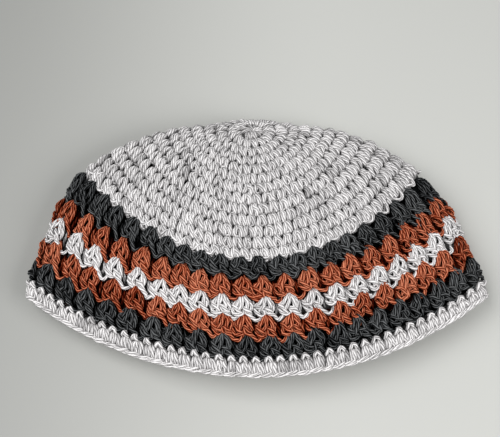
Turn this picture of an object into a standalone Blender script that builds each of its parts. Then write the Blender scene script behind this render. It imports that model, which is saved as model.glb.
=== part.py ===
"""A crocheted kippah, a deep skullcap, lying folded flat on its back wall.

Metres, +Z up. The rim opens towards -Y, the fold of the crown is at +Y, and the
back wall rests on the ground at z = 0. Every band is one closed hollow wall that
runs all the way round the flattened cap.
"""

import bmesh
import bpy
import numpy as np

# Driving sizes
HALF_WIDTH = 0.120        # from the cap's middle to its left or right fold, at the rim
DEPTH = 0.147             # from the top fold to the lowest point of the front rim
WALL = 0.0040             # thickness of the crocheted wall
HOLLOW = 0.0300           # clear height inside the cap, at its highest
GAP = 0.0004              # clearance between two neighbouring bands
STRIPE_RIB = 0.0009       # how far a stripe swells out of the wall at its middle
RIM_RIB = 0.0005          # how far the rim band swells out of the wall

HEIGHT = HOLLOW + 2.0 * WALL

# Counts of the mesh
AROUND = 72               # points round each section
CROWN_STEPS = 10
STRIPE_STEPS = 3
RIM_STEPS = 3

# Shape of a section between its folds, near the crown's centre and at the rim
ARC_POWERS = (0.80, 0.97)     # seen from above: 0.5 is an ellipse and 1 a parabola
SWAY_POWERS = (1.0, 1.7)      # how evenly the front and the back drift apart
DOME_POWER = 1.1              # swell of the front wall

# Sections from the centre of the crown (round 0) to the edge of the rim (round 20).
# half_width, turn and shift are shares of HALF_WIDTH: turn is the width taken by the side
# fold, and shift is how far the section lies to the right of the cap's middle.
# side_y, front_y and back_y are shares of DEPTH, measured from the top fold to the section's
# left and right folds and to the middle of its front and of its back.
# The z columns are shares of HEIGHT: at the folds, beside them on the front wall, in the
# middle of the front and in the middle of the back.
SECTION_COLUMNS = ("round", "half_width", "turn", "shift", "side_y", "front_y", "back_y",
                   "side_z", "shoulder_z", "front_z", "back_z")
SECTIONS = (
    (0,  0.000, 0.000, -0.020, 0.085, 0.085, 0.085, 0.66, 0.66, 0.66, 0.66),
    (1,  0.058, 0.058, -0.020, 0.082, 0.128, 0.043, 0.65, 0.70, 0.72, 0.61),
    (3,  0.171, 0.171, -0.021, 0.066, 0.213, 0.000, 0.60, 0.74, 0.83, 0.33),
    (5,  0.283, 0.220, -0.022, 0.052, 0.299, 0.042, 0.54, 0.72, 0.91, 0.05),
    (6,  0.342, 0.210, -0.023, 0.051, 0.342, 0.085, 0.50, 0.70, 0.94, 0.00),
    (7,  0.403, 0.190, -0.024, 0.056, 0.384, 0.132, 0.46, 0.66, 0.965, 0.00),
    (9,  0.530, 0.150, -0.026, 0.085, 0.469, 0.224, 0.38, 0.59, 0.995, 0.00),
    (11, 0.660, 0.110, -0.026, 0.136, 0.554, 0.316, 0.31, 0.53, 1.000, 0.00),
    (13, 0.777, 0.083, -0.022, 0.214, 0.639, 0.408, 0.25, 0.485, 0.980, 0.00),
    (14, 0.855, 0.075, -0.016, 0.306, 0.697, 0.480, 0.23, 0.45, 0.945, 0.00),
    (15, 0.905, 0.070, -0.010, 0.397, 0.759, 0.551, 0.22, 0.43, 0.890, 0.00),
    (16, 0.937, 0.067, -0.006, 0.482, 0.818, 0.622, 0.21, 0.415, 0.820, 0.00),
    (17, 0.965, 0.065, -0.003, 0.567, 0.876, 0.694, 0.205, 0.405, 0.740, 0.00),
    (18, 0.988, 0.063, 0.000, 0.636, 0.936, 0.765, 0.20, 0.40, 0.645, 0.00),
    (20, 1.000, 0.063, 0.000, 0.692, 1.000, 0.864, 0.20, 0.395, 0.515, 0.00),
)

CROWN_ROUNDS = 13         # rounds of single crochet in the crown
LAST_ROUND = 20           # edge of the rim

# Bands below the crown, from top to bottom: name, first and last round, rib, steps, material
BANDS = (
    ("charcoal_round_upper", 13, 14, STRIPE_RIB, STRIPE_STEPS, "charcoal_cotton"),
    ("rust_round_upper", 14, 15, STRIPE_RIB, STRIPE_STEPS, "rust_cotton"),
    ("white_round", 15, 16, STRIPE_RIB, STRIPE_STEPS, "white_cotton"),
    ("rust_round_lower", 16, 17, STRIPE_RIB, STRIPE_STEPS, "rust_cotton"),
    ("charcoal_round_lower", 17, 18, STRIPE_RIB, STRIPE_STEPS, "charcoal_cotton"),
    ("rim_band", 18, LAST_ROUND, RIM_RIB, RIM_STEPS, "white_cotton"),
)

# Cotton colours, linear RGB, and roughness
COTTON_ROUGHNESS = 0.9
COTTON_COLOURS = {
    "white_cotton": (0.62, 0.60, 0.57),
    "charcoal_cotton": (0.035, 0.037, 0.040),
    "rust_cotton": (0.36, 0.085, 0.030),
}

FINITE_STEP = 1e-3        # step used to take slopes, in rounds and in radians
SMALLEST_TURN = 1e-9      # keeps the centre of the crown from dividing by zero, metres
FIRST_SLOPE_ROUND = 0.5   # nearer the centre, slopes round a section are taken here
RIB_START_Z = 0.4         # a rib has its full swell above this share of HEIGHT
SHARP_EDGE = np.radians(50.0)


def column(name):
    """One column of the section table."""
    return np.array([row[SECTION_COLUMNS.index(name)] for row in SECTIONS], dtype=float)


def monotone_slopes(knots, values):
    """Slopes of a cubic through the values that never overshoots them."""
    step = np.diff(knots)
    rise = np.diff(values) / step
    slopes = np.zeros(len(knots))
    slopes[0] = rise[0]
    slopes[-1] = rise[-1]
    for i in range(1, len(knots) - 1):
        if rise[i - 1] * rise[i] > 0.0:
            before = 2.0 * step[i] + step[i - 1]
            after = step[i] + 2.0 * step[i - 1]
            slopes[i] = (before + after) / (before / rise[i - 1] + after / rise[i])
    return slopes


def read_column(name, rounds):
    """The column's value at any place between two rounds."""
    knots = column("round")
    values = column(name)
    slopes = monotone_slopes(knots, values)
    i = int(np.clip(np.searchsorted(knots, rounds, side="right") - 1, 0, len(knots) - 2))
    step = knots[i + 1] - knots[i]
    f = (rounds - knots[i]) / step
    start = (1.0 + 2.0 * f) * (1.0 - f) ** 2 * values[i] + f * (1.0 - f) ** 2 * step * slopes[i]
    end = f * f * (3.0 - 2.0 * f) * values[i + 1] - f * f * (1.0 - f) * step * slopes[i + 1]
    return start + end


def section(rounds, angles):
    """Outer line of the cap at one section: angle 0 is the right fold, a quarter turn
    is the middle of the front, and three quarters is the middle of the back."""
    half_width, turn, shift = (
        HALF_WIDTH * read_column(n, rounds) for n in ("half_width", "turn", "shift"))
    side_y, front_y, back_y = (
        DEPTH * read_column(n, rounds) for n in ("side_y", "front_y", "back_y"))
    side_z, shoulder_z, front_z, back_z = (
        HEIGHT * read_column(n, rounds) for n in ("side_z", "shoulder_z", "front_z", "back_z"))
    turn = max(turn, SMALLEST_TURN)
    flatness = 1.0 - turn / max(half_width, turn)
    arc_power = np.interp(flatness, (0.0, 1.0), ARC_POWERS)
    sway_power = np.interp(flatness, (0.0, 1.0), SWAY_POWERS)

    across = np.cos(angles)
    toward = np.sin(angles)
    x = half_width * across
    into_turn = np.clip((np.abs(x) - (half_width - turn)) / turn, 0.0, 1.0)
    lift = np.sign(toward) * np.sqrt(1.0 - into_turn ** 2)

    arc = np.abs(toward) ** (2.0 * arc_power)
    sway = np.sign(toward) * np.abs(toward) ** sway_power
    from_fold = side_y + 0.5 * (front_y - back_y) * sway + (0.5 * (front_y + back_y) - side_y) * arc
    dome = np.where(toward > 0.0, np.abs(toward) ** (2.0 * DOME_POWER), 0.0)
    z = (side_z + 0.5 * (shoulder_z - back_z) * lift
         + (0.5 * (shoulder_z + back_z) - side_z) * lift ** 2 + (front_z - shoulder_z) * dome)
    return np.stack([x + shift, 0.5 * DEPTH - from_fold, z], axis=-1)


def section_frame(rounds, angles):
    """Points of a section with their outward normals and their direction down the wall."""
    points = section(rounds, angles)
    above = max(rounds - FINITE_STEP, 0.0)
    below = min(rounds + FINITE_STEP, float(LAST_ROUND))
    downward = section(below, angles) - section(above, angles)
    level = max(rounds, FIRST_SLOPE_ROUND)
    around = section(level, angles + FINITE_STEP) - section(level, angles - FINITE_STEP)
    normals = np.cross(around, downward)
    normals /= np.linalg.norm(normals, axis=1, keepdims=True)
    downward /= np.linalg.norm(downward, axis=1, keepdims=True)
    return points, normals, downward


def rib_height(share, rib, points):
    """Swell of a band at this share of its length: none where it lies on the ground."""
    lifted = np.clip(points[:, 2] / (RIB_START_Z * HEIGHT), 0.0, 1.0)
    return rib * np.sin(np.pi * share) * lifted


def wall_sections(first, last, steps, rib, gap_above, gap_below):
    """Outer and inner lines of a band, section by section."""
    angles = np.arange(AROUND) * 2.0 * np.pi / AROUND
    outer_lines = []
    inner_lines = []
    for i in range(steps + 1):
        share = i / steps
        points, normals, downward = section_frame(first + share * (last - first), angles)
        if i == 0:
            points = points + downward * gap_above
        if i == steps:
            points = points - downward * gap_below
        swell = rib_height(share, rib, points)[:, None]
        outer_lines.append(points + normals * swell)
        inner_lines.append(points - normals * WALL)
    return outer_lines, inner_lines


def add_lines(mesh, lines):
    """The mesh's vertices for a list of lines of points."""
    return [[mesh.verts.new(p) for p in line] for line in lines]


def bridge(mesh, one, other):
    """Faces between two closed lines of points."""
    for i in range(AROUND):
        j = (i + 1) % AROUND
        mesh.faces.new((one[i], one[j], other[j], other[i]))


def loft(mesh, lines):
    """A skin through all the lines, from the first to the last."""
    for above, below in zip(lines[:-1], lines[1:]):
        bridge(mesh, above, below)


def close_pole(mesh, line, pole):
    """A fan of faces from a closed line to one point."""
    for i in range(AROUND):
        mesh.faces.new((line[i], line[(i + 1) % AROUND], pole))


def finish_object(name, mesh, material_name, collection):
    """Turns the built mesh into a named, shaded object in the cap's collection."""
    bmesh.ops.recalc_face_normals(mesh, faces=mesh.faces)
    data = bpy.data.meshes.new(name)
    mesh.to_mesh(data)
    mesh.free()
    data.shade_smooth()
    data.set_sharp_from_angle(angle=SHARP_EDGE)
    data.materials.append(bpy.data.materials[material_name])
    node = bpy.data.objects.new(name, data)
    collection.objects.link(node)
    return node


def make_cotton(name, colour):
    """A plain cotton colour."""
    material = bpy.data.materials.new(name)
    material.use_nodes = True
    shader = material.node_tree.nodes["Principled BSDF"]
    shader.inputs["Base Color"].default_value = (*colour, 1.0)
    shader.inputs["Roughness"].default_value = COTTON_ROUGHNESS
    shader.inputs["Metallic"].default_value = 0.0


def make_crown(collection):
    """The domed crown: a wall from the centre to the first stripe, closed at its centre."""
    first = CROWN_ROUNDS / CROWN_STEPS
    outer, inner = wall_sections(first, CROWN_ROUNDS, CROWN_STEPS - 1, 0.0, 0.0, 0.5 * GAP)
    angles = np.arange(AROUND) * 2.0 * np.pi / AROUND
    centre = section(0.0, angles)[0]
    normal = section_frame(FIRST_SLOPE_ROUND, angles)[1].mean(axis=0)
    normal /= np.linalg.norm(normal)

    mesh = bmesh.new()
    outer_lines = add_lines(mesh, outer)
    inner_lines = add_lines(mesh, inner)
    loft(mesh, outer_lines)
    loft(mesh, inner_lines)
    close_pole(mesh, outer_lines[0], mesh.verts.new(centre))
    close_pole(mesh, inner_lines[0], mesh.verts.new(centre - normal * WALL))
    bridge(mesh, outer_lines[-1], inner_lines[-1])
    return finish_object("crown", mesh, "white_cotton", collection)


def make_band(name, first, last, rib, steps, material_name, collection):
    """One coloured round, or the rim: a wall that runs all the way round the cap."""
    gap_below = 0.5 * GAP if last < LAST_ROUND else 0.0
    outer, inner = wall_sections(first, last, steps, rib, 0.5 * GAP, gap_below)
    mesh = bmesh.new()
    outer_lines = add_lines(mesh, outer)
    inner_lines = add_lines(mesh, inner)
    loft(mesh, outer_lines)
    loft(mesh, inner_lines)
    bridge(mesh, outer_lines[0], inner_lines[0])
    bridge(mesh, outer_lines[-1], inner_lines[-1])
    return finish_object(name, mesh, material_name, collection)


def centre_on_origin(nodes):
    """Moves all the nodes alike, so that the whole cap's box is centred over the origin."""
    points = [vertex.co for node in nodes for vertex in node.data.vertices]
    low = np.min(points, axis=0)
    high = np.max(points, axis=0)
    for node in nodes:
        for vertex in node.data.vertices:
            vertex.co.x -= 0.5 * (low[0] + high[0])
            vertex.co.y -= 0.5 * (low[1] + high[1])


def main():
    for old in list(bpy.data.objects):
        bpy.data.objects.remove(old, do_unlink=True)
    collection = bpy.data.collections.new("crocheted_kippah")
    bpy.context.scene.collection.children.link(collection)
    for name, colour in COTTON_COLOURS.items():
        make_cotton(name, colour)

    nodes = [make_crown(collection)]
    for name, first, last, rib, steps, material_name in BANDS:
        nodes.append(make_band(name, first, last, rib, steps, material_name, collection))
    centre_on_origin(nodes)


main()
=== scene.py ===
import math

import bpy
import numpy as np
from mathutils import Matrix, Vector


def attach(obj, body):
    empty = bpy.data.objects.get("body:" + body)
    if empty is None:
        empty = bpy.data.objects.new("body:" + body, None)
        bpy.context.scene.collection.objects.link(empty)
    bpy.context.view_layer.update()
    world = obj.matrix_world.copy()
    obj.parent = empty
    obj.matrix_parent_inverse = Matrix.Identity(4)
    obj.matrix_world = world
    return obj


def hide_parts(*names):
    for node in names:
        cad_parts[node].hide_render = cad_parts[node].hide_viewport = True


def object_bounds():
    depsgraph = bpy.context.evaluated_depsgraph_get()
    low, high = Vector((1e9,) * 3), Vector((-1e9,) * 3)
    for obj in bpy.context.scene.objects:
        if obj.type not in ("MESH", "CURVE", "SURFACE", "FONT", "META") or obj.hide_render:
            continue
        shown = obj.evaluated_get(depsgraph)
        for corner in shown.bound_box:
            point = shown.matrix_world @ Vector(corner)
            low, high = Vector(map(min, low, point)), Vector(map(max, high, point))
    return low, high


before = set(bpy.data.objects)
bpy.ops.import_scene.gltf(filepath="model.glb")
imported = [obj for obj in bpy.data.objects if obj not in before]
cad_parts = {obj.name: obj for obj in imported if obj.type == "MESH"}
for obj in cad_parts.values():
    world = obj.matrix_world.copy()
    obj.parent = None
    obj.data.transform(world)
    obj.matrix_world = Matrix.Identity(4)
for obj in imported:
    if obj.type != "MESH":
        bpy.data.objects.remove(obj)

cad_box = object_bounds()

# A crocheted kippah lying folded flat. Stitches of yarn replace its solids, and each is made
# of strands that follow the solids' wall, from the crown's centre to the rim.

# Sizes of the cap, in metres, as the solids have them
HALF_WIDTH = 0.120
DEPTH = 0.147
WALL = 0.0040
HOLLOW = 0.0300
HEIGHT = HOLLOW + 2.0 * WALL

# Rounds are counted from the centre of the crown. The coloured ones follow the crown's, and
# the rim's come last.
CROWN_ROUNDS = 13
RIM_START = 18
LAST_ROUND = 20

# Yarn
YARN_RADIUS = 0.00104
SIDES = 8                 # points round a strand
PLIES = 5                 # plies that show round a strand of plain thickness
PLY_TURN = 0.018          # length of strand in which its plies turn once round it
END_TAPER = 0.60          # radius of a strand's hidden ends, as a share
TAPER_POWER = 3           # how late along the strand the taper begins
SEGMENTS_PER_CONTROL = 2.0    # pieces along a strand for each step between its controls
RELIEF = 1.35             # how much further out the strands stand than their tables say
LOWEST_LINE = 0.6         # the lowest that a strand's middle lies above the ground, in radii
FLOOR_CLEARANCE = 0.0001  # the lowest that any yarn lies above the ground

# Tones: 0 is plain yarn, and yarn with a lower tone is darker. A tone holds random differences of the
# yarn and also painted shade
DEPTH_PAINTED_SHADE = 2.6          # painted shade: how much darker a strand gets for each radius that it lies deeper
EDGE_PAINTED_SHADE = 1.8           # painted shade: how much darker its sides are, where it touches its neighbours
ROUNDNESS = 0.6           # how much of a strand's own radius counts as depth for the painted shade
END_PAINTED_SHADE = -3.0           # tone of a strand's closed ends, darkened as painted shade
STITCH_TONE_SPREAD = 0.5  # how much the tone of stitches varies
STRAND_TONE_SPREAD = 0.35
WHITE_ROUND_TONE = 1.0
RIM_TONES_AND_PAINTED_SHADE = (0.9, 0.2)    # the rim's knobs and edge, and its legs; the legs' lower tone is painted half-shade
RIM_PAINTED_SHADE_LIMIT = -2.0        # the lowest tone of the rim's legs, edge and bars, which limits their painted shade

# Stitches
CROWN_LAST_COUNT = 84     # single crochets in the crown's last round and in each rim round
FIRST_COUNT = 6           # single crochets in the crown's first round
CLUSTER_COUNT = 42        # clusters in each coloured round
LEAN = 0.10               # how far a cluster leans to the left by its foot, in stitches a round
CROWN_LEAN = 0.55         # how far the crown's stitches lean at the folds, in stitches a round
ROUND_TURN = 0.15         # how far each round of the crown is turned from the one before, in stitches
LOOP_RISE = 0.40          # how much higher the crown's loops stand at the folds, in rounds
CROWN_SPLIT = 9           # where the crown's two pieces meet, in rounds
SEAM = 0.01               # half the gap between two linings, in rounds
CENTRE_HOLE = 0.15        # where the crown's lining starts, in rounds
PLAIN_STRETCH = 1.25      # how wide a stitch may be, beside its round's median, with plain yarn
MOST_GIRTH = 1.35         # how much thicker the yarn of a stretched stitch may be
RESTING_DROP = 1.3        # how much lower a stitch stands where it lies on the ground, in radii
RESTING_Z = 0.0035        # wall below this height, with its face down, rests on the ground

# Irregularity, each as a standard deviation: places and reaches of stitches, in stitches and
# shares, the thickness of strands, and the controls of strands across, down and outward
SEED = 20
PLACE_SPREAD = 0.03
REACH_SPREAD = 0.02
THICKNESS_SPREAD = 0.05
CROWN_WOBBLE = (0.042, 0.032, 0.20)
SC_WOBBLE = (0.030, 0.025, 0.16)
CLUSTER_WOBBLE = (0.030, 0.028, 0.24)

# Bars of yarn on the inside
BAR_DEPTH = 0.0040        # below the wall's outer face
BAR_THICKNESS = 0.9       # as a share of the yarn's
BAR_RELIEF = 0.5          # how far they stand out beside their table
BAR_SUNK = 0.5            # how deep they count for their painted shade, in radii
BAR_POINTS = 7
BAR_SIDES = 6
RIM_BAR_SPAN = 0.95       # in rounds

# The lining under the stitches, with its depths in metres below the wall's outer face
LINING_OUTSIDE = 0.0025
LINING_INSIDE = 0.0038
LINING_AT_FOLD = 0.0015   # its outside at the folds, where the stitches are stretched
LINING_AROUND = 252       # faces round it
LINING_STEPS = 3          # faces down it, for each round
LINING_PAINTED_SHADE = -5.0        # painted shade: the lining's outside is dark where it shows between the stitches
FOLD_PAINTED_SHADE = -2.0          # its lighter painted shade at the folds
FOLD_REACH = (0.012, 0.030)   # how far from a fold that holds, and where it ends, as shares
RIM_LINING_END = 1.9      # where the rim's lining ends, in rounds from the rim's start
RIM_LINING_OUT = 0.6      # where it begins to come out as at the folds
LINING_EDGE_FADE = 0.3    # rounds over which it does so

# Maps
YARN_MAP_SCALE = 1000.0   # the yarn map counts a strand's length in millimetres
LINING_YARN = (0.0, 300.0)    # size of the lining in the yarn map
LINING_SHARE = 0.12       # part of the whole map that the lining takes
LINING_FILL = (0.99, 0.98)    # how much of that part it fills
TILE_SHAPE = 1.4          # how many times more strands' tiles there are across than down
TILE_MARGIN = 0.04        # kept free on each side of a tile
TIP_INSET = 0.02          # where a strand's two tips lie, from the ends of its tile

# The coloured rounds from the top: node, slot and tone
STRIPES = (
    ("charcoal_round_upper", "charcoal_cotton", 0.0),
    ("rust_round_upper", "rust_cotton", 0.0),
    ("white_round", "white_cotton", WHITE_ROUND_TONE),
    ("rust_round_lower", "rust_cotton", 0.0),
    ("charcoal_round_lower", "charcoal_cotton", 0.0),
)

# How far down the stitches of each coloured round reach, in rounds
ROUND_SPANS = (1.12, 1.05, 1.03, 1.13, 1.12)

# Each row of the next three tables has values for the right fold, the right quarter, the
# middle of the front, the left quarter, the left fold and the hidden back

# How far the stitches of a coloured round lie to the right of even places, in stitches
ROUND_DRIFT = (
    (-0.10, -0.15, 0.33, 0.85, 0.72, 0.35),
    (0.70, 0.62, 0.45, 0.80, 0.40, 0.50),
    (0.80, 0.68, 0.47, 0.82, 0.25, 0.50),
    (0.85, 0.76, 0.48, 0.82, 0.40, 0.55),
    (0.10, 0.22, 0.60, 0.58, 0.50, 0.35),
)

# Where the tops of a coloured round stand, in rounds below its line
ROUND_TOPS = (
    (0.10, -0.25, -0.33, -0.50, -0.20, -0.25),
    (-0.10, -0.27, -0.08, -0.28, -0.10, -0.25),
    (-0.30, -0.25, 0.00, -0.32, -0.35, -0.25),
    (-0.42, -0.37, 0.00, -0.40, -0.30, -0.25),
    (-0.35, -0.30, 0.05, -0.30, -0.30, -0.25),
)

# How far below its lines the rim's stitches stand, in rounds
RIM_TOPS = (-0.06, -0.06, 0.12, -0.10, -0.10, 0.00)

# Those six places as shares of the way round, and the right fold again
PLACES = (0.0, 0.125, 0.25, 0.375, 0.5, 0.75, 1.0)

# Camera, which also sets how the stitches spread along a round
ELEVATION = math.radians(65.0)
DISTANCE = 0.449
TARGET = (-0.0034, 0.0148, 0.012)
LENS = 60.0
CLIP_START = 0.01
DEPTH_WEIGHT = 0.30       # how much a step away from the camera counts in the spacing of stitches

# Shape of a section between its folds, near the crown's centre and at the rim
ARC_POWERS = (0.80, 0.97)
SWAY_POWERS = (1.0, 1.7)
DOME_POWER = 1.1

# The solids' own sections, from the centre of the crown to the edge of the rim, as shares
SECTION_COLUMNS = ("round", "half_width", "turn", "shift", "side_y", "front_y", "back_y",
                   "side_z", "shoulder_z", "front_z", "back_z")
SECTIONS = (
    (0,  0.000, 0.000, -0.020, 0.085, 0.085, 0.085, 0.66, 0.66, 0.66, 0.66),
    (1,  0.058, 0.058, -0.020, 0.082, 0.128, 0.043, 0.65, 0.70, 0.72, 0.61),
    (3,  0.171, 0.171, -0.021, 0.066, 0.213, 0.000, 0.60, 0.74, 0.83, 0.33),
    (5,  0.283, 0.220, -0.022, 0.052, 0.299, 0.042, 0.54, 0.72, 0.91, 0.05),
    (6,  0.342, 0.210, -0.023, 0.051, 0.342, 0.085, 0.50, 0.70, 0.94, 0.00),
    (7,  0.403, 0.190, -0.024, 0.056, 0.384, 0.132, 0.46, 0.66, 0.965, 0.00),
    (9,  0.530, 0.150, -0.026, 0.085, 0.469, 0.224, 0.38, 0.59, 0.995, 0.00),
    (11, 0.660, 0.110, -0.026, 0.136, 0.554, 0.316, 0.31, 0.53, 1.000, 0.00),
    (13, 0.777, 0.083, -0.022, 0.214, 0.639, 0.408, 0.25, 0.485, 0.980, 0.00),
    (14, 0.855, 0.075, -0.016, 0.306, 0.697, 0.480, 0.23, 0.45, 0.945, 0.00),
    (15, 0.905, 0.070, -0.010, 0.397, 0.759, 0.551, 0.22, 0.43, 0.890, 0.00),
    (16, 0.937, 0.067, -0.006, 0.482, 0.818, 0.622, 0.21, 0.415, 0.820, 0.00),
    (17, 0.965, 0.065, -0.003, 0.567, 0.876, 0.694, 0.205, 0.405, 0.740, 0.00),
    (18, 0.988, 0.063, 0.000, 0.636, 0.936, 0.765, 0.20, 0.40, 0.645, 0.00),
    (20, 1.000, 0.063, 0.000, 0.692, 1.000, 0.864, 0.20, 0.395, 0.515, 0.00),
)

# How finely the wall is looked up
GRID_ROUNDS = 401
GRID_SHARES = 1440
FINE_ANGLES = 4320
CENTRE_STEP = 1e-4        # how far the first line is moved from the centre toward the next, as a share

# Smallest values, which keep divisions safe where a size is nothing
SMALLEST_TURN = 1e-9
SMALLEST_LENGTH = 1e-12

# The strands of each stitch: how thick each is beside plain yarn, and its controls. These
# are (across, down, height): across in stitch widths to the right, down from the stitch's
# top as a share of its reach, and height in yarn radii above the wall's outer face.
SINGLE_CROCHET = {
    "left_leg": (1.44, ((-0.06, -0.12, -2.8), (-0.11, 0.06, -0.9), (-0.19, 0.30, -0.1),
                        (-0.24, 0.56, -0.1), (-0.25, 0.80, -0.9), (-0.20, 1.02, -2.8))),
    "right_leg": (1.44, ((0.10, -0.12, -2.8), (0.14, 0.05, -0.8), (0.23, 0.28, 0.0),
                         (0.28, 0.52, 0.1), (0.29, 0.78, -0.7), (0.27, 1.02, -2.8))),
    "top_loop": (0.95, ((-0.44, 0.84, -2.4), (-0.16, 0.90, -1.3), (0.14, 0.86, -1.1),
                        (0.46, 0.74, -2.2))),
}
RIM_KNOB = {
    "left_leg": (0.85, ((0.06, 0.00, -2.4), (-0.04, 0.04, 0.2), (-0.14, 0.28, 0.8),
                        (-0.22, 0.66, 0.2), (-0.25, 1.00, -2.2))),
    "right_leg": (0.95, ((-0.10, 0.04, -2.4), (0.03, 0.04, 0.5), (0.14, 0.26, 1.1),
                         (0.22, 0.62, 0.4), (0.26, 1.00, -2.2))),
}
RIM_LEGS = {
    "left_leg": (1.30, ((-0.12, -0.14, -2.8), (-0.20, 0.04, -1.3), (-0.28, 0.30, -0.8),
                        (-0.34, 0.60, -0.8), (-0.38, 0.90, -1.0), (-0.40, 1.10, -2.4))),
    "middle_leg": (1.30, ((0.02, -0.14, -2.8), (0.02, 0.04, -1.2), (0.00, 0.30, -0.7),
                          (-0.02, 0.60, -0.7), (-0.06, 0.90, -1.0), (-0.08, 1.10, -2.4))),
    "right_leg": (1.30, ((0.14, -0.14, -2.8), (0.22, 0.04, -1.3), (0.30, 0.30, -0.8),
                         (0.33, 0.60, -0.8), (0.34, 0.90, -1.0), (0.32, 1.10, -2.4))),
}
CLUSTER = {
    "right_outer": (0.95, ((0.03, -0.14, -2.6), (0.09, 0.02, -0.7), (0.23, 0.22, 0.1),
                           (0.36, 0.47, 0.1), (0.37, 0.68, -0.2), (0.28, 0.86, -1.4))),
    "right_inner": (1.0, ((0.03, -0.09, -2.2), (0.09, 0.08, 0.1), (0.20, 0.28, 0.8),
                          (0.24, 0.48, 0.7), (0.19, 0.66, 0.1), (0.12, 0.80, -1.0))),
    "middle": (1.0, ((0.00, -0.09, -2.0), (0.02, 0.09, 0.2), (0.01, 0.30, 1.0),
                     (-0.06, 0.50, 1.0), (-0.15, 0.68, 0.5), (-0.22, 0.82, -0.8))),
    "left_inner": (1.0, ((-0.03, -0.09, -2.2), (-0.08, 0.09, 0.0), (-0.16, 0.27, 0.6),
                         (-0.22, 0.44, 0.3), (-0.25, 0.60, -0.8))),
    "left_outer": (0.95, ((-0.03, -0.12, -2.6), (-0.10, 0.06, -0.7), (-0.23, 0.28, -0.1),
                          (-0.34, 0.46, -0.4), (-0.40, 0.62, -1.6))),
    "left_arm": (1.0, ((-0.50, 0.32, -2.6), (-0.42, 0.44, -0.9), (-0.31, 0.56, 0.5),
                       (-0.18, 0.72, 0.6), (-0.06, 0.84, -0.2), (0.02, 0.92, -1.4))),
    "left_cup": (0.95, ((-0.47, 0.50, -2.2), (-0.40, 0.70, -0.8), (-0.29, 0.90, 0.0),
                        (-0.13, 1.00, 0.1), (0.04, 0.96, -0.6), (0.14, 0.86, -1.6))),
    "knot": (0.95, ((-0.04, 0.54, -0.6), (0.09, 0.60, 0.9), (0.23, 0.72, 0.9),
                    (0.34, 0.86, 0.1), (0.42, 0.96, -1.2))),
    "tail": (0.95, ((0.12, 0.80, -0.8), (0.24, 0.90, 0.4), (0.40, 1.00, 0.3), (0.52, 1.12, -0.2),
                    (0.64, 1.22, -0.2), (0.78, 1.18, -0.3), (0.88, 1.02, -0.9), (0.90, 0.86, -2.0))),
    "stem": (0.9, ((0.03, 0.56, -1.2), (0.06, 0.70, 0.0), (0.09, 0.84, 0.0), (0.11, 0.96, -1.6))),
    "post": (1.0, ((0.56, 1.04, -2.2), (0.52, 0.75, -1.6), (0.50, 0.45, -1.7), (0.47, 0.12, -2.6))),
}
CROWN_LOOP = {
    "edge": (0.85, ((-0.42, -0.46, -1.2), (-0.30, -0.10, -0.1), (-0.14, 0.12, 0.5), (0.02, 0.16, 0.6),
                    (0.16, -0.04, 0.5), (0.32, -0.36, 0.2), (0.44, -0.62, -1.0))),
}
CHAIN_LINK = {
    "upper": (0.74, ((-0.66, 0.14, -1.8), (-0.25, 0.02, -0.5), (0.15, -0.06, 0.1),
                     (0.50, -0.14, -0.2), (0.76, -0.16, -1.6))),
    "lower": (0.78, ((-0.78, 0.04, -1.9), (-0.36, 0.14, -0.5), (0.12, 0.20, -0.3),
                     (0.56, 0.16, -0.5), (0.88, 0.04, -1.8))),
}

# The controls of a bar on the inside, with its height counted inward
INSIDE_BAR = ((-0.50, 0.50, -0.3), (-0.26, 0.44, 0.5), (0.0, 0.42, 0.8), (0.26, 0.44, 0.5),
              (0.50, 0.50, -0.3))

rng = np.random.default_rng(SEED)


# The wall's surface

def column(name):
    return np.array([row[SECTION_COLUMNS.index(name)] for row in SECTIONS], dtype=float)


def monotone_slopes(knots, values):
    """Slopes of a cubic through the values that never overshoots them."""
    step = np.diff(knots)
    rise = np.diff(values) / step
    slopes = np.zeros(len(knots))
    slopes[0] = rise[0]
    slopes[-1] = rise[-1]
    for i in range(1, len(knots) - 1):
        if rise[i - 1] * rise[i] > 0.0:
            before = 2.0 * step[i] + step[i - 1]
            after = step[i] + 2.0 * step[i - 1]
            slopes[i] = (before + after) / (before / rise[i - 1] + after / rise[i])
    return slopes


def read_column(name, rounds):
    """The column's values at an array of rounds."""
    knots = column("round")
    values = column(name)
    slopes = monotone_slopes(knots, values)
    i = np.clip(np.searchsorted(knots, rounds, side="right") - 1, 0, len(knots) - 2)
    step = knots[i + 1] - knots[i]
    f = (rounds - knots[i]) / step
    start = (1.0 + 2.0 * f) * (1.0 - f) ** 2 * values[i] + f * (1.0 - f) ** 2 * step * slopes[i]
    end = f * f * (3.0 - 2.0 * f) * values[i + 1] - f * f * (1.0 - f) * step * slopes[i + 1]
    return start + end


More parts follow.
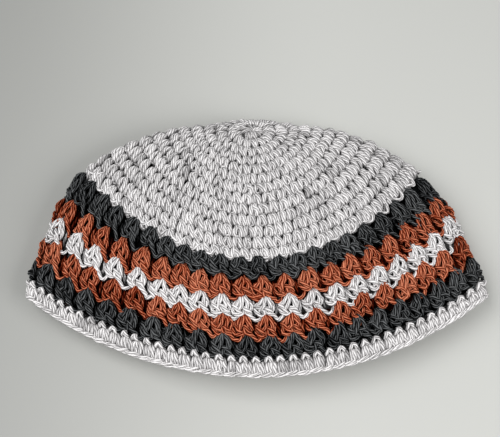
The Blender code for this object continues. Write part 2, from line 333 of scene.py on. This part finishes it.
def section_lines(rounds, angles):
    """Outer lines of the cap, one for each round: angle 0 is the right fold."""
    def across_sizes(name, size):
        return (size * read_column(name, rounds))[:, None]

    half_width, turn, shift = (across_sizes(n, HALF_WIDTH) for n in ("half_width", "turn", "shift"))
    side_y, front_y, back_y = (across_sizes(n, DEPTH) for n in ("side_y", "front_y", "back_y"))
    side_z, shoulder_z, front_z, back_z = (
        across_sizes(n, HEIGHT) for n in ("side_z", "shoulder_z", "front_z", "back_z"))
    turn = np.maximum(turn, SMALLEST_TURN)
    flatness = 1.0 - turn / np.maximum(half_width, turn)
    arc_power = np.interp(flatness, (0.0, 1.0), ARC_POWERS)
    sway_power = np.interp(flatness, (0.0, 1.0), SWAY_POWERS)

    across = np.cos(angles)[None, :]
    toward = np.sin(angles)[None, :]
    x = half_width * across
    into_turn = np.clip((np.abs(x) - (half_width - turn)) / turn, 0.0, 1.0)
    lift = np.sign(toward) * np.sqrt(1.0 - into_turn ** 2)
    arc = np.abs(toward) ** (2.0 * arc_power)
    sway = np.sign(toward) * np.abs(toward) ** sway_power
    from_fold = side_y + 0.5 * (front_y - back_y) * sway + (0.5 * (front_y + back_y) - side_y) * arc
    dome = np.where(toward > 0.0, np.abs(toward) ** (2.0 * DOME_POWER), 0.0)
    z = (side_z + 0.5 * (shoulder_z - back_z) * lift
         + (0.5 * (shoulder_z + back_z) - side_z) * lift ** 2 + (front_z - shoulder_z) * dome)
    return np.stack([x + shift, 0.5 * DEPTH - from_fold, z], axis=-1)


def unit(vectors):
    return vectors / np.maximum(np.linalg.norm(vectors, axis=-1, keepdims=True), SMALLEST_LENGTH)


def camera_place():
    offset = (0.0, -DISTANCE * math.cos(ELEVATION), DISTANCE * math.sin(ELEVATION))
    return np.array(TARGET) + np.array(offset)


def spread(line, count):
    """Points along an open line, without its last, at distances that look even to the camera."""
    eye = camera_place()
    view = unit(np.array(TARGET) - eye)
    steps = np.diff(line, axis=0)
    along = steps @ view
    lengths = np.sqrt(np.maximum((steps ** 2).sum(-1) - (1.0 - DEPTH_WEIGHT) * along ** 2, 0.0))
    lengths = lengths / ((line[1:] - eye) @ view)
    marks = np.concatenate([[0.0], np.cumsum(lengths)])
    wanted = np.arange(count) / count * marks[-1]
    return np.stack([np.interp(wanted, marks, line[:, k]) for k in range(3)], axis=-1)


class Wall:
    """The cap's outer face, looked up by round and by share of the way round. Share 0 is the
    right fold, a quarter is the middle of the front and a half is the left fold."""

    def __init__(self):
        rounds = np.linspace(0.0, LAST_ROUND, GRID_ROUNDS)
        angles = np.linspace(0.0, 2.0 * math.pi, FINE_ANGLES + 1)
        lines = section_lines(rounds, angles)
        lines[0] += CENTRE_STEP * (lines[1] - lines[0])
        middle = FINE_ANGLES // 2
        half = GRID_SHARES // 2
        self.points = np.stack([
            np.concatenate([spread(line[:middle + 1], half), spread(line[middle:], half)])
            for line in lines])
        low = self.points.min(axis=(0, 1))
        high = self.points.max(axis=(0, 1))
        wanted = 0.5 * (np.array(cad_box[0]) + np.array(cad_box[1]))
        self.points[..., :2] += (wanted - 0.5 * (low + high))[:2]

        around = np.roll(self.points, -1, axis=1) - np.roll(self.points, 1, axis=1)
        self.down = np.gradient(self.points, LAST_ROUND / (GRID_ROUNDS - 1), axis=0)
        self.normals = unit(np.cross(around, self.down))
        self.normals[0] = unit(self.normals[2].mean(axis=0))

    def read(self, grid, rounds, shares):
        r = np.clip(rounds, 0.0, LAST_ROUND) / LAST_ROUND * (GRID_ROUNDS - 1)
        i = np.minimum(r.astype(int), GRID_ROUNDS - 2)
        u = (r - i)[..., None]
        s = (shares % 1.0) * GRID_SHARES
        j = s.astype(int) % GRID_SHARES
        v = (s - np.floor(s))[..., None]
        k = (j + 1) % GRID_SHARES
        above = grid[i, j] * (1.0 - v) + grid[i, k] * v
        below = grid[i + 1, j] * (1.0 - v) + grid[i + 1, k] * v
        return above * (1.0 - u) + below * u

    def place(self, rounds, shares):
        """World points on the outer face and the normals there."""
        beyond = np.clip(rounds - LAST_ROUND, 0.0, None)[..., None]
        points = self.read(self.points, rounds, shares)
        points = points + beyond * self.read(self.down, rounds, shares)
        return points, unit(self.read(self.normals, rounds, shares))


wall = Wall()


# Meshes of strands

def spline_matrix(controls, points):
    """Weights that turn control points into points along a smooth curve through them."""
    weights = np.zeros((points, controls))
    for row, t in enumerate(np.linspace(0.0, controls - 1.0, points)):
        i = min(int(t), controls - 2)
        f = t - i
        basis = (-0.5 * f + f * f - 0.5 * f ** 3, 1.0 - 2.5 * f * f + 1.5 * f ** 3,
                 0.5 * f + 2.0 * f * f - 1.5 * f ** 3, -0.5 * f * f + 0.5 * f ** 3)
        for k, w in zip((i - 1, i, i + 1, i + 2), basis):
            if k < 0:
                weights[row, 0] += 2.0 * w
                weights[row, 1] -= w
            elif k > controls - 1:
                weights[row, controls - 1] += 2.0 * w
                weights[row, controls - 2] -= w
            else:
                weights[row, k] += w
    return weights


class Patch:
    """Faces of one kind, with their picture coordinates. Each patch is laid out in tiles, so
    that no two faces share a place in the piece's map."""

    def __init__(self, vertices, faces, yarn_uv, tile_uv, tiles, tone):
        self.vertices = vertices      # (n, 3)
        self.faces = faces            # (m, corners)
        self.yarn_uv = yarn_uv        # (m, corners, 2)
        self.tile_uv = tile_uv        # (m, corners, 2), within its tile
        self.tiles = tiles            # (m,) which tile each face is in
        self.tone = tone              # (n,)


def tube_patches(lines, normals, heights, radius, tone, sides, plies):
    """Tubes along lines (strands, points, 3), closed at both ends. The heights, in radii, set
    how much painted shade darkens the deeper parts; their sides and closed ends get painted shade too."""
    strands, points, _ = lines.shape
    tangents = unit(np.gradient(lines, axis=1))
    side = np.empty_like(lines)
    side[:, 0] = unit(np.cross(tangents[:, 0], normals[:, 0]))
    for i in range(1, points):
        turned = side[:, i - 1]
        along = (turned * tangents[:, i]).sum(-1, keepdims=True)
        side[:, i] = unit(turned - along * tangents[:, i])
    lift = np.cross(side, tangents)

    steps = np.linalg.norm(np.diff(lines, axis=1), axis=-1)
    lengths = np.concatenate([np.zeros((strands, 1)), np.cumsum(steps, axis=1)], axis=1)
    start = rng.random((strands, 1)) * 2.0 * math.pi
    phase = start + lengths / PLY_TURN * 2.0 * math.pi
    turn = phase[..., None] + np.arange(sides) * 2.0 * math.pi / sides
    taper = 1.0 - (1.0 - END_TAPER) * np.abs(np.linspace(-1.0, 1.0, points)) ** TAPER_POWER
    size = radius[:, None, None] * taper[None, :, None] * np.ones(sides)
    rings = (lines[:, :, None, :]
             + side[:, :, None, :] * (np.cos(turn) * size)[..., None]
             + lift[:, :, None, :] * (np.sin(turn) * size)[..., None])

    first = np.arange(strands)[:, None, None] * points * sides
    i = np.arange(points - 1)[None, :, None]
    j = np.arange(sides)[None, None, :]
    k = (j + 1) % sides
    a = first + i * sides + j
    b = first + i * sides + k
    quads = np.stack([a, b, b + sides, a + sides], axis=-1).reshape(-1, 4)
    row = np.broadcast_to(lengths[:, :-1, None] * YARN_MAP_SCALE, a.shape)
    row_next = np.broadcast_to(lengths[:, 1:, None] * YARN_MAP_SCALE, a.shape)
    left = np.broadcast_to(j / sides, a.shape)
    right = left + 1.0 / sides
    low = np.broadcast_to((i + 1.0) / (points + 1.0), a.shape)
    high = low + 1.0 / (points + 1.0)
    quad_yarn = corners(((left * plies, row), (right * plies, row),
                         (right * plies, row_next), (left * plies, row_next)))
    quad_tile = corners(((left, low), (right, low), (right, high), (left, high)))
    quad_tiles = np.broadcast_to(np.arange(strands)[:, None, None], a.shape).reshape(-1)

    ring = np.arange(sides)[None, :]
    start_ring = (np.arange(strands) * points * sides)[:, None] + ring
    start_next = start_ring - ring + (ring + 1) % sides
    end_ring = start_ring + (points - 1) * sides
    end_next = start_next + (points - 1) * sides
    tips = strands * points * sides + np.arange(strands * 2).reshape(strands, 2)
    front_tip = np.broadcast_to(tips[:, :1], start_ring.shape)
    back_tip = np.broadcast_to(tips[:, 1:], start_ring.shape)
    front = np.stack([start_next, start_ring, front_tip], -1).reshape(-1, 3)
    back = np.stack([end_ring, end_next, back_tip], -1).reshape(-1, 3)
    left = np.broadcast_to(ring / sides, start_ring.shape)
    right = left + 1.0 / sides
    middle = left + 0.5 / sides
    near = np.full(left.shape, 1.0 / (points + 1.0))
    far = np.full(left.shape, points / (points + 1.0))
    front_tile = corners(((right, near), (left, near), (middle, TIP_INSET)))
    back_tile = corners(((left, far), (right, far), (middle, 1.0 - TIP_INSET)))
    cap_tiles = np.repeat(np.arange(strands), sides)

    vertices = np.concatenate([rings.reshape(-1, 3),
                               np.stack([lines[:, 0], lines[:, -1]], axis=1).reshape(-1, 3)])
    # painted shade: deep parts, the sides where strands touch and the closed ends are darkened in the
    # tone
    depth = np.minimum(heights[..., None] + ROUNDNESS * np.sin(turn), 0.0)
    edge = np.clip(1.0 - np.sin(turn), 0.0, 1.0) ** 2
    tones_with_painted_shade = tone[:, None, None] + DEPTH_PAINTED_SHADE * depth - EDGE_PAINTED_SHADE * edge
    tones = np.concatenate([tones_with_painted_shade.reshape(-1), np.repeat(tone + END_PAINTED_SHADE, 2)])
    caps = np.concatenate([front, back])
    cap_tile = np.concatenate([front_tile, back_tile])
    return (Patch(vertices, quads, quad_yarn, quad_tile, quad_tiles, tones),
            Patch(vertices, caps, cap_tile, cap_tile, np.tile(cap_tiles, 2), tones))


def corners(pairs):
    return np.stack([np.stack(np.broadcast_arrays(*pair), -1) for pair in pairs], axis=-2).reshape(
        -1, len(pairs), 2)


class Piece:
    """Collects strands and a lining, and turns them into one mesh."""

    def __init__(self):
        self.vertices = []
        self.tones = []
        self.painted_shade_limit = -math.inf      # the lowest tone that the strands laid from here on may have, which limits their painted shade
        self.count = 0
        self.tiles = 0
        self.quads = []
        self.quad_yarn = []
        self.quad_tile = []
        self.quad_tiles = []
        self.caps = []
        self.cap_yarn = []
        self.cap_tile = []
        self.cap_tiles = []

    def add_strands(self, lines, normals, heights, radius, tone, sides=SIDES, plies=PLIES):
        quads, caps = tube_patches(lines, normals, heights, radius, tone, sides, plies)
        self.quads.append(quads.faces + self.count)
        self.quad_yarn.append(quads.yarn_uv)
        self.quad_tile.append(quads.tile_uv)
        self.quad_tiles.append(quads.tiles + self.tiles)
        self.caps.append(caps.faces + self.count)
        self.cap_yarn.append(caps.yarn_uv)
        self.cap_tile.append(caps.tile_uv)
        self.cap_tiles.append(caps.tiles + self.tiles)
        self.vertices.append(quads.vertices)
        self.tones.append(np.maximum(quads.tone, self.painted_shade_limit))
        self.count += len(quads.vertices)
        self.tiles += len(lines)

    def add_lining(self, top, bottom, edge=None):
        """A thin closed wall under the strands, from one round to another. Its outer face is darkened
        as painted shade, less at the folds. Below the edge's round it comes out as it does at the folds."""
        rows = max(2, round((bottom - top) * LINING_STEPS)) + 1
        rounds = np.broadcast_to(np.linspace(top, bottom, rows)[:, None], (rows, LINING_AROUND))
        shares = np.broadcast_to(np.arange(LINING_AROUND)[None, :] / LINING_AROUND, rounds.shape)
        points, normals = wall.place(rounds, shares)
        fold = fold_share(shares)
        if edge is not None:
            fold = np.maximum(fold, np.clip((rounds - edge) / LINING_EDGE_FADE, 0.0, 1.0))
        depth = LINING_OUTSIDE + fold * (LINING_AT_FOLD - LINING_OUTSIDE)
        outer = points - normals * depth[..., None]
        inner = points - normals * LINING_INSIDE
        skin = np.concatenate([outer, inner[::-1]])
        vertices = skin.reshape(-1, 3)
        total = 2 * rows
        i = np.broadcast_to(np.arange(total)[:, None], (total, LINING_AROUND))
        j = np.broadcast_to(np.arange(LINING_AROUND)[None, :], i.shape)
        k = (j + 1) % LINING_AROUND
        below = (i + 1) % total
        faces = np.stack([i * LINING_AROUND + j, below * LINING_AROUND + j,
                          below * LINING_AROUND + k, i * LINING_AROUND + k], -1).reshape(-1, 4)
        left = j / LINING_AROUND
        right = left + 1.0 / LINING_AROUND
        high = i / total
        low = high + 1.0 / total
        tile = corners(((left, high), (left, low), (right, low), (right, high)))
        yarn = tile * np.array(LINING_YARN)
        self.quads.append(faces + self.count)
        self.quad_yarn.append(yarn)
        self.quad_tile.append(tile)
        self.quad_tiles.append(np.full(len(faces), -1))
        self.vertices.append(vertices)
        # painted shade on the lining's outer face; its inner face keeps a plain tone
        outer_painted_shade = LINING_PAINTED_SHADE + fold * (FOLD_PAINTED_SHADE - LINING_PAINTED_SHADE)
        self.tones.append(np.concatenate([outer_painted_shade, np.zeros(outer_painted_shade.shape)]).reshape(-1))
        self.count += len(vertices)

    def map_tiles(self, tile_uv, tiles):
        """Places in the whole map: the lining takes the lowest part, and the strands' tiles
        fill the rest in a grid."""
        across = max(1, math.ceil(math.sqrt(self.tiles * TILE_SHAPE)))
        down = max(1, math.ceil(self.tiles / across))
        step = np.array([1.0 / across, (1.0 - LINING_SHARE) / down])
        corner = np.stack([tiles % across, tiles // across], -1) * step + np.array([0.0, LINING_SHARE])
        strands = corner[:, None, :] + (TILE_MARGIN + (1.0 - 2.0 * TILE_MARGIN) * tile_uv) * step
        lining = tile_uv * np.array([1.0, LINING_SHARE]) * np.array(LINING_FILL)
        return np.where((tiles < 0)[:, None, None], lining, strands)

    def build(self, name, material):
        vertices = np.concatenate(self.vertices)
        vertices[:, 2] = np.maximum(vertices[:, 2], FLOOR_CLEARANCE)
        quads = np.concatenate(self.quads)
        caps = np.concatenate(self.caps)
        mesh = bpy.data.meshes.new(name)
        mesh.vertices.add(len(vertices))
        mesh.vertices.foreach_set("co", vertices.astype(np.float32).ravel())
        mesh.loops.add(quads.size + caps.size)
        corner_list = np.concatenate([quads.ravel(), caps.ravel()])
        mesh.loops.foreach_set("vertex_index", corner_list.astype(np.int32))
        mesh.polygons.add(len(quads) + len(caps))
        starts = np.concatenate([np.arange(len(quads)) * 4, quads.size + np.arange(len(caps)) * 3])
        mesh.polygons.foreach_set("loop_start", starts.astype(np.int32))
        mesh.update(calc_edges=True)

        quad_map = self.map_tiles(np.concatenate(self.quad_tile), np.concatenate(self.quad_tiles))
        cap_map = self.map_tiles(np.concatenate(self.cap_tile), np.concatenate(self.cap_tiles))
        yarn = [np.concatenate(self.quad_yarn).ravel(), np.concatenate(self.cap_yarn).ravel()]
        for layer_name, parts in (("yarn", yarn), ("OFBake", [quad_map.ravel(), cap_map.ravel()])):
            layer = mesh.uv_layers.new(name=layer_name)
            layer.uv.foreach_set("vector", np.concatenate(parts).astype(np.float32))
        tones = mesh.attributes.new("tone", "FLOAT", "POINT")
        tones.data.foreach_set("value", np.concatenate(self.tones).astype(np.float32))
        mesh.shade_smooth()
        mesh.materials.append(material)
        piece = bpy.data.objects.new(name, mesh)
        bpy.context.scene.collection.objects.link(piece)
        return piece


# Stitches

def fold_share(shares):
    """1 at the two folds and 0 away from them."""
    distance = np.abs((shares + 0.25) % 0.5 - 0.25)
    return np.interp(distance, FOLD_REACH, (1.0, 0.0))


def girths(rounds, shares, count):
    """How much thicker the yarn of each stitch is, as the round's stitches are stretched."""
    step = 0.5 / count
    before, _ = wall.place(rounds, shares - step)
    after, _ = wall.place(rounds, shares + step)
    widths = np.linalg.norm(after - before, axis=-1)
    return np.clip(widths / (PLAIN_STRETCH * np.median(widths)), 1.0, MOST_GIRTH)


def lay_strand(piece, strand, tops, spans, shares, count, wobble, tones, leans, girth):
    """Lays one strand of a stitch at every stitch of a round."""
    thickness, controls = strand
    table = np.array(controls)
    shifts = rng.normal(0.0, 1.0, (len(shares),) + table.shape) * np.array(wobble)
    placed = table[None] + shifts
    points = round((len(table) - 1) * SEGMENTS_PER_CONTROL) + 1
    curve = np.einsum("pc,scx->spx", spline_matrix(len(table), points), placed)
    across = curve[..., 0] - leans[:, None] * curve[..., 1]
    rounds = tops[:, None] + curve[..., 1] * spans[:, None]
    base, normals = wall.place(rounds, shares[:, None] - across / count)
    height = np.where(curve[..., 2] > 0.0, RELIEF, 1.0) * curve[..., 2] * YARN_RADIUS
    resting = np.clip(1.0 - base[..., 2] / RESTING_Z, 0.0, 1.0) * np.clip(-normals[..., 2], 0.0, 1.0)
    height = height - resting * RESTING_DROP * YARN_RADIUS
    lines = base + normals * height[..., None]
    lines[..., 2] = np.maximum(lines[..., 2], LOWEST_LINE * YARN_RADIUS)
    radius = thickness * YARN_RADIUS * girth * (1.0 + rng.normal(0.0, THICKNESS_SPREAD, len(shares)))
    tones = tones + rng.normal(0.0, STRAND_TONE_SPREAD, len(shares))
    piece.add_strands(lines, normals, curve[..., 2], radius, tones, plies=round(thickness * PLIES))


def lay_round(piece, stitch, top, span, count, offset, wobble, lean=0.0, tone=0.0):
    """Lays one round of a stitch: every strand of it, at every place round the cap. The top,
    offset and lean are numbers or functions of the share of the way round."""
    even = (np.arange(count) + 0.5) / count
    offsets = offset(even) if callable(offset) else offset
    shares = (even - (offsets + rng.normal(0.0, PLACE_SPREAD, count)) / count) % 1.0
    tops = top(shares) if callable(top) else np.full(count, float(top))
    tops = tops + rng.normal(0.0, REACH_SPREAD, count) * span
    spans = span * (1.0 + rng.normal(0.0, REACH_SPREAD, count))
    leans = lean(shares) if callable(lean) else np.full(count, float(lean))
    tones = tone + rng.normal(0.0, STITCH_TONE_SPREAD, count)
    girth = girths(tops + 0.5 * span, shares, count)
    for strand in stitch.values():
        lay_strand(piece, strand, tops, spans, shares, count, wobble, tones, leans, girth)


def lay_bars(piece, top, span, count):
    """Short bars of yarn on the inside of a round."""
    table = np.array(INSIDE_BAR)
    shares = (np.arange(count) + 0.5) / count
    curve = np.broadcast_to(spline_matrix(len(table), BAR_POINTS) @ table, (count, BAR_POINTS, 3))
    jitter = rng.normal(0.0, PLACE_SPREAD, (count, 1))
    rounds = top + (curve[..., 1] + jitter) * span
    base, normals = wall.place(rounds, shares[:, None] - curve[..., 0] / count)
    lines = base - normals * (BAR_DEPTH + curve[..., 2] * BAR_RELIEF * YARN_RADIUS)[..., None]
    lines[..., 2] = np.maximum(lines[..., 2], LOWEST_LINE * YARN_RADIUS)
    radius = np.full(count, YARN_RADIUS * BAR_THICKNESS)
    tones = rng.normal(0.0, STITCH_TONE_SPREAD, count)
    # the bars count as sunk, so that painted shade darkens them
    piece.add_strands(lines, -normals, curve[..., 2] - BAR_SUNK, radius, tones, sides=BAR_SIDES)


def around(values, start=0.0):
    """A function that gives the values of a table's row for shares of the way round."""
    placed = start + np.array((*values, values[0]))
    return lambda shares: np.interp(shares % 1.0, PLACES, placed)


# Materials

# The yarn's colour in its grooves, between them and on its ridges, and where on the ramp
# those three stand. The grooves' darker colour is painted shade and the ridges' lighter colour a painted
# highlight
COTTON = {
    "white_cotton": ((0.32, 0.309, 0.309), (0.62, 0.602, 0.600), (0.93, 0.908, 0.903)),
    "charcoal_cotton": ((0.001, 0.001, 0.001), (0.021, 0.023, 0.025), (0.140, 0.144, 0.146)),
    "rust_cotton": ((0.095, 0.002, 0.0003), (0.29, 0.042, 0.009), (0.67, 0.238, 0.132)),
}
RAMP_PLACES = (0.22, 0.48, 0.74)
GROOVE_SHADE = 0.85       # painted shade: how much darker the yarn is in a groove between its plies
PLY_MIDDLE = 0.7          # the height on a ply that leaves the shade as it is
PLY_ROUNDNESS = 0.8       # below 1 makes the grooves between the plies narrower
TONE_SHADE = 0.08         # how far one step of tone moves the shade along the ramp
HOLLOW_START = 0.6        # how far below 0 the tone is where the painted shade of a hollow begins to darken the yarn
HOLLOW_SHADE = 0.22       # painted shade: how much darker a hollow gets for each step of tone below that
# the darkest that the painted shade of hollows makes the yarn, as a share of its colour
HOLLOW_DARKEST = 0.10
FIBRE_STRETCH = (5.2, 0.45, 1.0)    # fine across the yarn and long along it
FIBRE_DETAIL = 3.0
FIBRE_RELIEF = 0.5        # height of the fibres beside that of the plies
RELIEF_DEPTH = 0.0003
YARN_ROUGHNESS = 0.7
YARN_SPECULAR = 0.02


def math_node(nodes, links, operation, first, second, third=None):
    node = nodes.new("ShaderNodeMath")
    node.operation = operation
    for socket, value in zip(node.inputs, (first, second, third)):
        if value is None:
            continue
        if isinstance(value, (int, float)):
            socket.default_value = value
        else:
            links.new(value, socket)
    return node.outputs["Value"]


def make_cotton(name, groove, middle, ridge):
    material = bpy.data.materials.new(name + "_yarn")
    material.use_nodes = True
    nodes = material.node_tree.nodes
    links = material.node_tree.links
    shader = nodes["Principled BSDF"]
    shader.inputs["Roughness"].default_value = YARN_ROUGHNESS
    shader.inputs["Specular IOR Level"].default_value = YARN_SPECULAR

    uv = nodes.new("ShaderNodeUVMap")
    uv.uv_map = "yarn"
    split = nodes.new("ShaderNodeSeparateXYZ")
    links.new(uv.outputs["UV"], split.inputs["Vector"])
    angle = math_node(nodes, links, "MULTIPLY", split.outputs["X"], math.pi)
    wave = math_node(nodes, links, "COSINE", angle, None)
    round_wave = math_node(nodes, links, "ABSOLUTE", wave, None)
    ply = math_node(nodes, links, "POWER", round_wave, PLY_ROUNDNESS)

    stretch = nodes.new("ShaderNodeMapping")
    stretch.inputs["Scale"].default_value = FIBRE_STRETCH
    links.new(uv.outputs["UV"], stretch.inputs["Vector"])
    fibres = nodes.new("ShaderNodeTexNoise")
    fibres.inputs["Scale"].default_value = 1.0
    fibres.inputs["Detail"].default_value = FIBRE_DETAIL
    links.new(stretch.outputs["Vector"], fibres.inputs["Vector"])

    tone = nodes.new("ShaderNodeAttribute")
    tone.attribute_name = "tone"
    # the ramp's place mixes the tone with its painted shade, random fibres, and the plies' painted
    # groove shade and ridge highlight
    shade = math_node(nodes, links, "MULTIPLY_ADD", tone.outputs["Fac"], TONE_SHADE,
                      fibres.outputs["Fac"])
    shade = math_node(nodes, links, "MULTIPLY_ADD", ply, GROOVE_SHADE, shade)
    shade = math_node(nodes, links, "SUBTRACT", shade, PLY_MIDDLE * GROOVE_SHADE)
    ramp = nodes.new("ShaderNodeValToRGB")
    low, centre, high = RAMP_PLACES
    ramp.color_ramp.elements[0].position = low
    ramp.color_ramp.elements[0].color = (*groove, 1.0)
    ramp.color_ramp.elements[1].position = high
    ramp.color_ramp.elements[1].color = (*ridge, 1.0)
    between = ramp.color_ramp.elements.new(centre)
    between.color = (*middle, 1.0)
    links.new(shade, ramp.inputs["Fac"])

    # painted shade: the colour is darkened by the tone, as shade falls in the hollows between strands
    hollow_painted_shade = math_node(nodes, links, "MULTIPLY_ADD", tone.outputs["Fac"], HOLLOW_SHADE,
                       1.0 + HOLLOW_SHADE * HOLLOW_START)
    hollow_painted_shade = math_node(nodes, links, "MINIMUM", hollow_painted_shade, 1.0)
    hollow_painted_shade = math_node(nodes, links, "MAXIMUM", hollow_painted_shade, HOLLOW_DARKEST)
    painted_shade_colour = nodes.new("ShaderNodeVectorMath")
    painted_shade_colour.operation = "SCALE"
    links.new(ramp.outputs["Color"], painted_shade_colour.inputs[0])
    links.new(hollow_painted_shade, painted_shade_colour.inputs["Scale"])
    links.new(painted_shade_colour.outputs["Vector"], shader.inputs["Base Color"])

    height = math_node(nodes, links, "MULTIPLY_ADD", fibres.outputs["Fac"], FIBRE_RELIEF, ply)
    bump = nodes.new("ShaderNodeBump")
    bump.inputs["Strength"].default_value = 1.0
    bump.inputs["Distance"].default_value = RELIEF_DEPTH
    links.new(height, bump.inputs["Height"])
    links.new(bump.outputs["Normal"], shader.inputs["Normal"])
    return material


cottons = {name: make_cotton(name, *colours) for name, colours in COTTON.items()}


def dress(piece, node):
    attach(piece, "root")
    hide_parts(node)


# Bands

# The rim's rows: stitch, tops, how far down it reaches, how far it is set to the right, tone
# (the legs' lower tone is painted half-shade) and lowest tone, which limits the painted shade
RIM_ROWS = (
    (RIM_KNOB, around(RIM_TOPS, RIM_START + 0.04), 0.50, 0.4, RIM_TONES_AND_PAINTED_SHADE[0], -math.inf),
    (RIM_LEGS, around(RIM_TOPS, RIM_START + 0.50), 1.20, 0.6, RIM_TONES_AND_PAINTED_SHADE[1], RIM_PAINTED_SHADE_LIMIT),
    (CHAIN_LINK, RIM_START + 1.82, 1.00, 0.1, RIM_TONES_AND_PAINTED_SHADE[0], RIM_PAINTED_SHADE_LIMIT),
)


def crown_lean(shares):
    """The crown's stitches lean to the left at the right fold and to the right at the left one."""
    return CROWN_LEAN * np.cos(2.0 * math.pi * shares)


def loop_tops(shares):
    """Tops of the loops at the crown's edge, which are drawn up at the folds."""
    return around(ROUND_TOPS[0], CROWN_ROUNDS)(shares) - LOOP_RISE * fold_share(shares)


def make_crown():
    counts = [max(FIRST_COUNT, round(CROWN_LAST_COUNT * k / CROWN_ROUNDS))
              for k in range(1, CROWN_ROUNDS + 1)]
    halves = (("crown_centre_rounds", 0, CROWN_SPLIT), ("crown_outer_rounds", CROWN_SPLIT, CROWN_ROUNDS))
    for name, first, last in halves:
        piece = Piece()
        for k in range(first, last):
            lay_round(piece, SINGLE_CROCHET, float(k), 1.0, counts[k], ROUND_TURN * k,
                      CROWN_WOBBLE, crown_lean)
            lay_bars(piece, float(k), 1.0, counts[k])
        if last == CROWN_ROUNDS:
            lay_round(piece, CROWN_LOOP, loop_tops, 1.0, CLUSTER_COUNT,
                      around(ROUND_DRIFT[0], -0.5), CLUSTER_WOBBLE)
        piece.add_lining(max(first + SEAM, CENTRE_HOLE), last - SEAM)
        dress(piece.build(name, cottons["white_cotton"]), "crown")


def make_stripe(node, slot, tone, order):
    piece = Piece()
    line = CROWN_ROUNDS + float(order)
    lay_round(piece, CLUSTER, around(ROUND_TOPS[order], line), ROUND_SPANS[order], CLUSTER_COUNT,
              around(ROUND_DRIFT[order]), CLUSTER_WOBBLE, LEAN, tone)
    lay_bars(piece, line, 1.0, 2 * CLUSTER_COUNT)
    piece.add_lining(line + SEAM, line + 1.0 - SEAM)
    dress(piece.build(node + "_yarn", cottons[slot]), node)


def make_rim():
    piece = Piece()
    for stitch, top, span, offset, tone, painted_shade_limit in RIM_ROWS:
        piece.painted_shade_limit = painted_shade_limit
        lay_round(piece, stitch, top, span, CROWN_LAST_COUNT, offset, SC_WOBBLE, tone=tone)
    for row in range(2):
        lay_bars(piece, RIM_START + row * RIM_BAR_SPAN, RIM_BAR_SPAN, CROWN_LAST_COUNT)
    piece.add_lining(RIM_START + SEAM, RIM_START + RIM_LINING_END, edge=RIM_START + RIM_LINING_OUT)
    dress(piece.build("rim_band_yarn", cottons["white_cotton"]), "rim_band")


make_crown()
for order, (node, slot, tone) in enumerate(STRIPES):
    make_stripe(node, slot, tone, order)
make_rim()


# Floor, lights and camera

# The floor is darker to the left: painted shade that stands for the light's falloff
FLOOR_LEFT_PAINTED_SHADE = (0.30, 0.302, 0.287)
FLOOR_RIGHT = (0.57, 0.573, 0.544)
FLOOR_PAINTED_FALLOFF = (-0.20, 0.06)    # across the floor, where its darker left tone, a painted falloff of the light, ends and its right one starts
FLOOR_SIZE = 3.0
FLOOR_ROUGHNESS = 0.6
WORLD_COLOUR = (0.96, 0.98, 1.0)
WORLD_STRENGTH = 0.27

# Lamps, which point at the origin: name, place, width and length, and power in watts
LAMPS = (
    ("window", (0.84, -0.55, 0.80), (0.6, 0.6), 9.8),
    ("left_lamp", (-0.62, -0.05, 0.88), (0.9, 0.9), 10.0),
)


def make_floor():
    bpy.ops.mesh.primitive_plane_add(size=FLOOR_SIZE, location=(0.0, 0.0, 0.0))
    floor = bpy.context.object
    floor.name = "floor"
    material = bpy.data.materials.new("pale_tabletop")
    material.use_nodes = True
    nodes = material.node_tree.nodes
    links = material.node_tree.links
    shader = nodes["Principled BSDF"]
    shader.inputs["Roughness"].default_value = FLOOR_ROUGHNESS
    place = nodes.new("ShaderNodeTexCoord")
    split = nodes.new("ShaderNodeSeparateXYZ")
    links.new(place.outputs["Object"], split.inputs["Vector"])
    # painted shade: the floor's colour darkens toward the left
    fade = nodes.new("ShaderNodeMapRange")
    fade.interpolation_type = "SMOOTHSTEP"
    fade.inputs["From Min"].default_value, fade.inputs["From Max"].default_value = FLOOR_PAINTED_FALLOFF
    links.new(split.outputs["X"], fade.inputs["Value"])
    ramp = nodes.new("ShaderNodeValToRGB")
    ramp.color_ramp.elements[0].color = (*FLOOR_LEFT_PAINTED_SHADE, 1.0)
    ramp.color_ramp.elements[1].color = (*FLOOR_RIGHT, 1.0)
    links.new(fade.outputs["Result"], ramp.inputs["Fac"])
    links.new(ramp.outputs["Color"], shader.inputs["Base Color"])
    floor.data.materials.append(material)


def add_area(name, location, size, power):
    light = bpy.data.lights.new(name, "AREA")
    light.shape = "RECTANGLE"
    light.size, light.size_y = size
    light.energy = power
    lamp = bpy.data.objects.new(name, light)
    lamp.location = location
    lamp.rotation_euler = (-Vector(location)).to_track_quat("-Z", "Y").to_euler()
    bpy.context.scene.collection.objects.link(lamp)


def make_camera():
    camera = bpy.data.objects.new("camera", bpy.data.cameras.new("camera"))
    camera.data.lens = LENS
    camera.data.clip_start = CLIP_START
    camera.location = camera_place()
    camera.rotation_euler = (0.5 * math.pi - ELEVATION, 0.0, 0.0)
    bpy.context.scene.collection.objects.link(camera)
    bpy.context.scene.camera = camera


def make_world():
    world = bpy.context.scene.world or bpy.data.worlds.new("world")
    bpy.context.scene.world = world
    world.use_nodes = True
    background = world.node_tree.nodes["Background"]
    background.inputs["Color"].default_value = (*WORLD_COLOUR, 1.0)
    background.inputs["Strength"].default_value = WORLD_STRENGTH


make_floor()
for lamp in LAMPS:
    add_area(*lamp)
make_camera()
make_world()
bpy.context.scene.view_settings.view_transform = "Standard"
